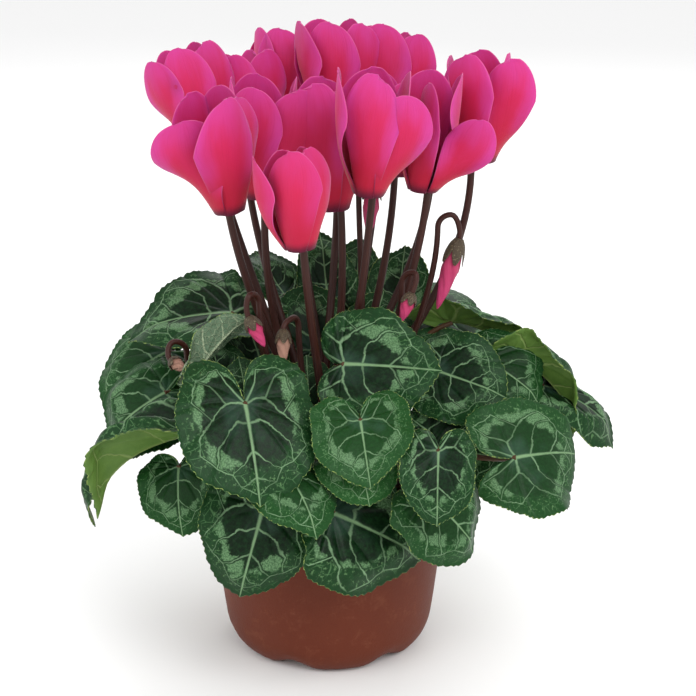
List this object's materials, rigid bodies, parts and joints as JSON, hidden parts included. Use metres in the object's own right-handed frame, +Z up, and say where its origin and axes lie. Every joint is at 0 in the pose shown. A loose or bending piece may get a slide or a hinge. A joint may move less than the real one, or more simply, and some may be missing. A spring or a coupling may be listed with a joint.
{
  "type": "potted cyclamen",
  "caption": "Cyclamen in bloom in a round nursery pot: heart-shaped patterned leaves under upright swept-back flowers on dark stems.",
  "frame": {"origin": "middle of the pot's flat underside, on the surface that it stands on", "axes": "+Z up along the pot's axis, -Y towards the front of the plant, +X to the right seen from the front"},
  "size_m": [0.2528, 0.2197, 0.2979],
  "materials": {
    "pot_plastic": "matte terracotta-coloured plastic with a fine grain",
    "potting_soil": "damp, coarse dark peat",
    "tuber_skin": "rough corky skin",
    "leaf": "satin dark green with silvery marbling and pale veins",
    "stem": "satin maroon-brown skin",
    "petal": "soft satin magenta-pink, paler at the rims and dark at the throat",
    "bud": "satin, brown mottled calyx and furled pink petals"
  },
  "bodies": {
    "root": {"pot": "pot_plastic", "soil": "potting_soil", "tuber": "tuber_skin", "leaf_01": "leaf", "leaf_02": "leaf", "leaf_03": "leaf", "leaf_04": "leaf", "leaf_05": "leaf", "leaf_06": "leaf", "leaf_07": "leaf", "leaf_08": "leaf", "leaf_09": "leaf", "leaf_10": "leaf", "leaf_11": "leaf", "leaf_12": "leaf", "leaf_13": "leaf", "leaf_14": "leaf", "leaf_15": "leaf", "leaf_16": "leaf", "leaf_17": "leaf", "leaf_18": "leaf", "leaf_19": "leaf", "leaf_20": "leaf", "leaf_21": "leaf", "leaf_22": "leaf", "leaf_23": "leaf", "leaf_24": "leaf", "leaf_25": "leaf", "leaf_26": "leaf", "leaf_27": "leaf", "leaf_28": "leaf", "flower_stem_01": "stem", "flower_stem_02": "stem", "flower_stem_03": "stem", "flower_stem_04": "stem", "flower_stem_05": "stem", "flower_stem_06": "stem", "flower_stem_07": "stem", "flower_stem_08": "stem", "flower_stem_09": "stem", "flower_stem_10": "stem", "flower_stem_11": "stem", "flower_stem_12": "stem", "corolla_01": "petal", "corolla_02": "petal", "corolla_03": "petal", "corolla_04": "petal", "corolla_05": "petal", "corolla_06": "petal", "corolla_07": "petal", "corolla_08": "petal", "corolla_09": "petal", "corolla_10": "petal", "corolla_11": "petal", "corolla_12": "petal", "bud_01": "bud", "bud_02": "bud", "bud_03": "bud", "bud_04": "bud", "bud_05": "bud"}
  },
  "joints": []
}
